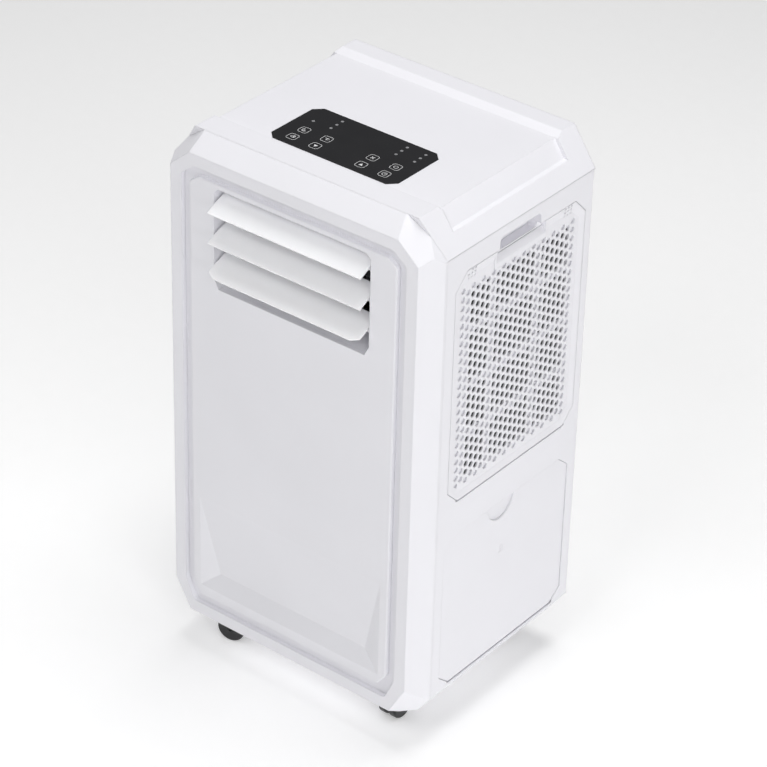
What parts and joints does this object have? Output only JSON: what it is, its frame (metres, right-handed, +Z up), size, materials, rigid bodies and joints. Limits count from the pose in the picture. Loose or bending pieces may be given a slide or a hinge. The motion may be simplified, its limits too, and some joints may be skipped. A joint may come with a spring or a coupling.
{
  "type": "portable air conditioner",
  "caption": "Floor-standing portable air conditioner with tilting front louvers, side filter grilles, a touch panel on top, a rear exhaust collar and swivel casters.",
  "frame": {"origin": "centre of the bounding box at the floor, under the casters", "axes": "+Z up, -Y towards the front with the air outlet, +X towards the right hand of a viewer who faces the front"},
  "size_m": [0.33, 0.2807, 0.6175],
  "materials": {
    "shell_white": "fine matte",
    "panel_white": "fine matte",
    "louver_white": "satin",
    "glass_black": "gloss",
    "board_green": "satin",
    "inner_grey": "matte",
    "mesh_dark": "matte",
    "motor_steel": "satin",
    "fin_aluminium": "satin",
    "tube_copper": "satin",
    "compressor_black": "semi-gloss",
    "rubber_black": "matte",
    "caster_black": "satin",
    "box_steel": "satin"
  },
  "bodies": {
    "housing": {"front_casing": "shell_white", "front_panel": "panel_white", "top_cover": "shell_white", "rear_casing": "shell_white", "base_tray": "shell_white", "touch_glass": "glass_black", "control_board": "board_green", "outlet_frame": "panel_white", "outlet_screws": "compressor_black", "louver_motor": "inner_grey", "exhaust_collar": "inner_grey", "exhaust_duct": "inner_grey", "cord_gland": "rubber_black", "drain_port": "inner_grey", "deck": "inner_grey", "evaporator_fins": "fin_aluminium", "evaporator_tubes": "tube_copper", "upper_scroll": "inner_grey", "upper_motor": "motor_steel", "condenser_fins": "fin_aluminium", "condenser_tubes": "tube_copper", "lower_scroll": "inner_grey", "lower_motor": "motor_steel", "compressor": "compressor_black", "compressor_mounts": "rubber_black", "accumulator": "compressor_black", "discharge_pipe": "tube_copper", "suction_pipe": "tube_copper", "liquid_pipe": "tube_copper", "electrical_box": "box_steel", "power_board": "board_green", "run_capacitor": "motor_steel"},
    "louver_top": {"louver_top": "louver_white"},
    "louver_middle": {"louver_middle": "louver_white"},
    "louver_bottom": {"louver_bottom": "louver_white"},
    "louver_link": {"louver_link": "inner_grey"},
    "filter_right": {"filter_grille_right": "shell_white", "filter_mesh_right": "shell_white"},
    "filter_left": {"filter_grille_left": "shell_white", "filter_mesh_left": "shell_white"},
    "lower_cover_right": {"lower_cover_right": "shell_white"},
    "lower_cover_left": {"lower_cover_left": "shell_white"},
    "drain_plug": {"drain_plug": "rubber_black"},
    "upper_blower": {"upper_wheel": "mesh_dark", "upper_shaft": "motor_steel"},
    "lower_blower": {"lower_wheel": "mesh_dark", "lower_shaft": "motor_steel"},
    "caster_front_left": {"caster_front_left": "caster_black"},
    "wheel_front_left_outer": {"wheel_front_left_outer": "caster_black"},
    "wheel_front_left_inner": {"wheel_front_left_inner": "caster_black"},
    "caster_front_right": {"caster_front_right": "caster_black"},
    "wheel_front_right_outer": {"wheel_front_right_outer": "caster_black"},
    "wheel_front_right_inner": {"wheel_front_right_inner": "caster_black"},
    "caster_rear_left": {"caster_rear_left": "caster_black"},
    "wheel_rear_left_outer": {"wheel_rear_left_outer": "caster_black"},
    "wheel_rear_left_inner": {"wheel_rear_left_inner": "caster_black"},
    "caster_rear_right": {"caster_rear_right": "caster_black"},
    "wheel_rear_right_outer": {"wheel_rear_right_outer": "caster_black"},
    "wheel_rear_right_inner": {"wheel_rear_right_inner": "caster_black"}
  },
  "joints": [
    {"name": "louver_top_hinge", "type": "hinge", "parent": "housing", "child": "louver_top", "pos_m": [0, -0.1156, 0.5511], "axis": [1, 0, 0], "range_deg": [-8, 60]},
    {"name": "louver_middle_hinge", "type": "hinge", "parent": "housing", "child": "louver_middle", "pos_m": [0, -0.1156, 0.5172], "axis": [1, 0, 0], "range_deg": [-8, 60]},
    {"name": "louver_bottom_hinge", "type": "hinge", "parent": "housing", "child": "louver_bottom", "pos_m": [0, -0.1156, 0.4833], "axis": [1, 0, 0], "range_deg": [-8, 60]},
    {"name": "louver_link_hinge", "type": "hinge", "parent": "louver_top", "child": "louver_link", "pos_m": [0.0625, -0.09973, 0.55719], "axis": [1, 0, 0], "range_deg": [-60, 8]},
    {"name": "filter_right_tilt", "type": "hinge", "parent": "housing", "child": "filter_right", "pos_m": [0.1625, 0, 0.2929], "axis": [0, 1, 0], "range_deg": [0, 14]},
    {"name": "filter_left_tilt", "type": "hinge", "parent": "housing", "child": "filter_left", "pos_m": [-0.1625, 0, 0.2929], "axis": [0, -1, 0], "range_deg": [0, 14]},
    {"name": "lower_cover_right_tilt", "type": "hinge", "parent": "housing", "child": "lower_cover_right", "pos_m": [0.1625, 0, 0.0685], "axis": [0, 1, 0], "range_deg": [0, 15]},
    {"name": "lower_cover_left_tilt", "type": "hinge", "parent": "housing", "child": "lower_cover_left", "pos_m": [-0.1625, 0, 0.0685], "axis": [0, -1, 0], "range_deg": [0, 15]},
    {"name": "drain_plug_pull", "type": "slide", "parent": "housing", "child": "drain_plug", "axis": [0, 1, 0], "range_m": [0, 0.03]},
    {"name": "upper_blower_spin", "type": "hinge", "parent": "housing", "child": "upper_blower", "pos_m": [0, -0.04, 0.388], "axis": [0, 1, 0], "continuous": true},
    {"name": "lower_blower_spin", "type": "hinge", "parent": "housing", "child": "lower_blower", "pos_m": [-0.06, 0.02, 0.16], "axis": [1, 0, 0], "continuous": true},
    {"name": "caster_front_left_swivel", "type": "hinge", "parent": "housing", "child": "caster_front_left", "pos_m": [-0.1034, -0.0792, 0.05], "axis": [0, 0, 1], "continuous": true},
    {"name": "wheel_front_left_outer_roll", "type": "hinge", "parent": "caster_front_left", "child": "wheel_front_left_outer", "pos_m": [-0.10794, -0.08671, 0.0156], "axis": [0.2079, -0.9781, 0], "continuous": true},
    {"name": "wheel_front_left_inner_roll", "type": "hinge", "parent": "caster_front_left", "child": "wheel_front_left_inner", "pos_m": [-0.1106, -0.07419, 0.0156], "axis": [0.2079, -0.9781, 0], "continuous": true},
    {"name": "caster_front_right_swivel", "type": "hinge", "parent": "housing", "child": "caster_front_right", "pos_m": [0.1034, -0.0792, 0.05], "axis": [0, 0, 1], "continuous": true},
    {"name": "wheel_front_right_outer_roll", "type": "hinge", "parent": "caster_front_right", "child": "wheel_front_right_outer", "pos_m": [0.0969, -0.07331, 0.0156], "axis": [-0.9998, -0.0175, 0], "continuous": true},
    {"name": "wheel_front_right_inner_roll", "type": "hinge", "parent": "caster_front_right", "child": "wheel_front_right_inner", "pos_m": [0.10969, -0.07309, 0.0156], "axis": [-0.9998, -0.0175, 0], "continuous": true},
    {"name": "caster_rear_left_swivel", "type": "hinge", "parent": "housing", "child": "caster_rear_left", "pos_m": [-0.1034, 0.0984, 0.05], "axis": [0, 0, 1], "continuous": true},
    {"name": "wheel_rear_left_outer_roll", "type": "hinge", "parent": "caster_rear_left", "child": "wheel_rear_left_outer", "pos_m": [-0.1079, 0.10593, 0.0156], "axis": [-0.9613, 0.2756, 0], "continuous": true},
    {"name": "wheel_rear_left_inner_roll", "type": "hinge", "parent": "caster_rear_left", "child": "wheel_rear_left_inner", "pos_m": [-0.09559, 0.1024, 0.0156], "axis": [-0.9613, 0.2756, 0], "continuous": true},
    {"name": "caster_rear_right_swivel", "type": "hinge", "parent": "housing", "child": "caster_rear_right", "pos_m": [0.1034, 0.0984, 0.05], "axis": [0, 0, 1], "continuous": true},
    {"name": "wheel_rear_right_outer_roll", "type": "hinge", "parent": "caster_rear_right", "child": "wheel_rear_right_outer", "pos_m": [0.09546, 0.10213, 0.0156], "axis": [-0.9511, -0.309, 0], "continuous": true},
    {"name": "wheel_rear_right_inner_roll", "type": "hinge", "parent": "caster_rear_right", "child": "wheel_rear_right_inner", "pos_m": [0.10763, 0.10608, 0.0156], "axis": [-0.9511, -0.309, 0], "continuous": true}
  ],
  "couplings": [
    {"joint": "louver_middle_hinge", "follows": "louver_top_hinge", "ratio": 1},
    {"joint": "louver_bottom_hinge", "follows": "louver_top_hinge", "ratio": 1},
    {"joint": "louver_link_hinge", "follows": "louver_top_hinge", "ratio": -1}
  ]
}
